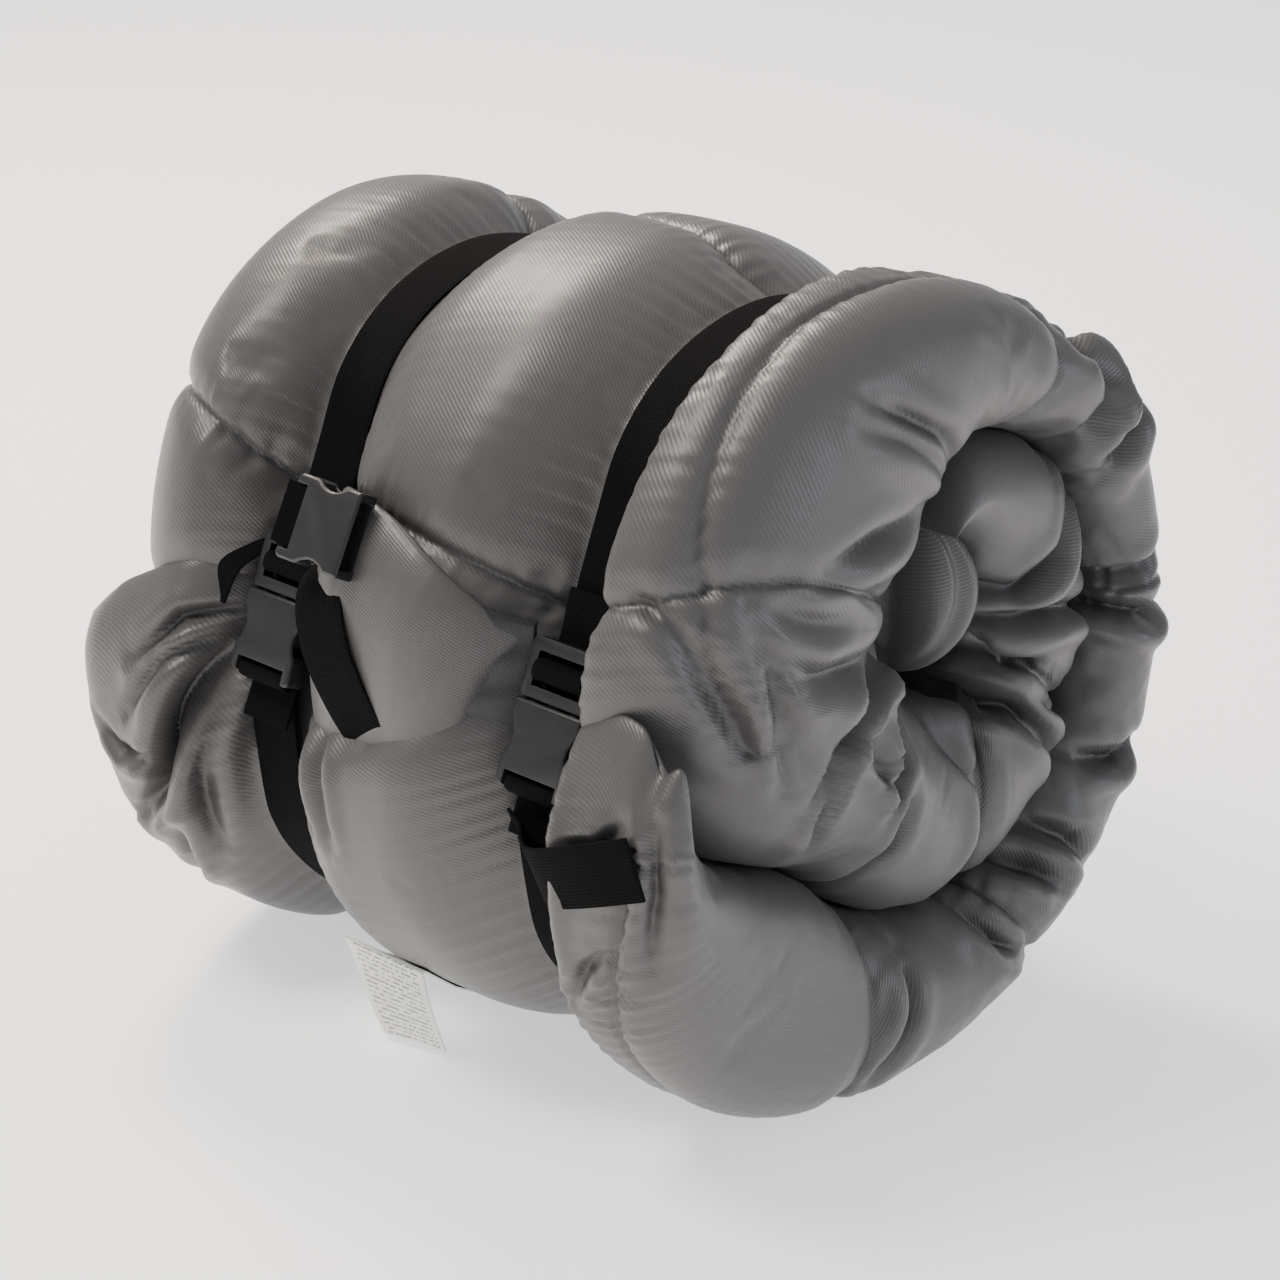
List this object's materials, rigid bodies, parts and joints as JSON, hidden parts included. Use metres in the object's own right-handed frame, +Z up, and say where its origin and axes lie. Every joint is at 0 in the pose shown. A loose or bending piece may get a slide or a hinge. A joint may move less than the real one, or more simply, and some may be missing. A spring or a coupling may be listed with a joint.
{
  "type": "camp quilt",
  "caption": "Rolled insulated camp quilt held by two webbing straps with side-release buckles, a keeper tab, a spare buckle half and a care label.",
  "frame": {"origin": "middle of the roll's footprint, on the ground it rests on", "axes": "+X along the roll's axis towards the end where the spiral shows, -Y the side with the buckles, +Z up"},
  "size_m": [0.344, 0.3312, 0.3349],
  "materials": {
    "shell_taffeta": "satin twill-weave polyester taffeta, warm grey",
    "lining_taffeta": "the same taffeta, cooler grey",
    "polyester_fill": "hollow-fibre batting",
    "webbing": "ribbed woven polypropylene webbing, black",
    "acetal": "moulded acetal, fine satin texture, black",
    "label_satin": "white coated care-label tape"
  },
  "bodies": {
    "rolled_quilt": {"quilt_shell": "shell_taffeta", "quilt_fill": "polyester_fill", "quilt_lining": "lining_taffeta", "left_long_strap": "webbing", "left_short_strap": "webbing", "left_buckle_socket": "acetal", "right_long_strap": "webbing", "right_short_strap": "webbing", "right_buckle_socket": "acetal", "spare_strap_left_leg": "webbing", "spare_strap_right_leg": "webbing", "keeper_tab": "webbing", "care_label_back": "label_satin"},
    "left_clip": {"left_buckle_clip": "acetal", "left_threaded_webbing": "webbing"},
    "left_latch_a": {"left_latch_arm_left": "acetal"},
    "left_latch_b": {"left_latch_arm_right": "acetal"},
    "right_clip": {"right_buckle_clip": "acetal", "right_threaded_webbing": "webbing"},
    "right_latch_a": {"right_latch_arm_left": "acetal"},
    "right_latch_b": {"right_latch_arm_right": "acetal"},
    "spare_buckle": {"spare_buckle_socket": "acetal", "spare_buckle_web": "webbing"},
    "care_label": {"care_label_front": "label_satin"}
  },
  "joints": [
    {"name": "left_clip_slide", "type": "slide", "parent": "rolled_quilt", "child": "left_clip", "axis": [0, 0.3907, 0.9205], "range_m": [0, 0.028]},
    {"name": "left_latch_a_press", "type": "hinge", "parent": "left_clip", "child": "left_latch_a", "pos_m": [-0.0788, -0.11761, 0.18759], "axis": [0, -0.9205, 0.3907], "range_deg": [0, 7], "stiffness_Nm_per_rad": 0.02},
    {"name": "left_latch_b_press", "type": "hinge", "parent": "left_clip", "child": "left_latch_b", "pos_m": [-0.0572, -0.11761, 0.18759], "axis": [0, 0.9205, -0.3907], "range_deg": [0, 7], "stiffness_Nm_per_rad": 0.02},
    {"name": "right_clip_slide", "type": "slide", "parent": "rolled_quilt", "child": "right_clip", "axis": [0, 0.3907, 0.9205], "range_m": [0, 0.028]},
    {"name": "right_latch_a_press", "type": "hinge", "parent": "right_clip", "child": "right_latch_a", "pos_m": [0.0742, -0.12215, 0.18759], "axis": [0, -0.9205, 0.3907], "range_deg": [0, 7], "stiffness_Nm_per_rad": 0.02},
    {"name": "right_latch_b_press", "type": "hinge", "parent": "right_clip", "child": "right_latch_b", "pos_m": [0.0958, -0.12215, 0.18759], "axis": [0, 0.9205, -0.3907], "range_deg": [0, 7], "stiffness_Nm_per_rad": 0.02},
    {"name": "spare_buckle_swing", "type": "hinge", "parent": "rolled_quilt", "child": "spare_buckle", "pos_m": [-0.053, -0.13225, 0.23409], "axis": [0, -0.4695, -0.8829], "range_deg": [0, 70]},
    {"name": "care_label_swing", "type": "hinge", "parent": "rolled_quilt", "child": "care_label", "pos_m": [-0.022, -0.1143, 0.04036], "axis": [1, 0, 0], "range_deg": [-60, 15]}
  ],
  "couplings": [
    {"joint": "left_latch_b_press", "follows": "left_latch_a_press", "ratio": 1},
    {"joint": "right_latch_b_press", "follows": "right_latch_a_press", "ratio": 1}
  ]
}
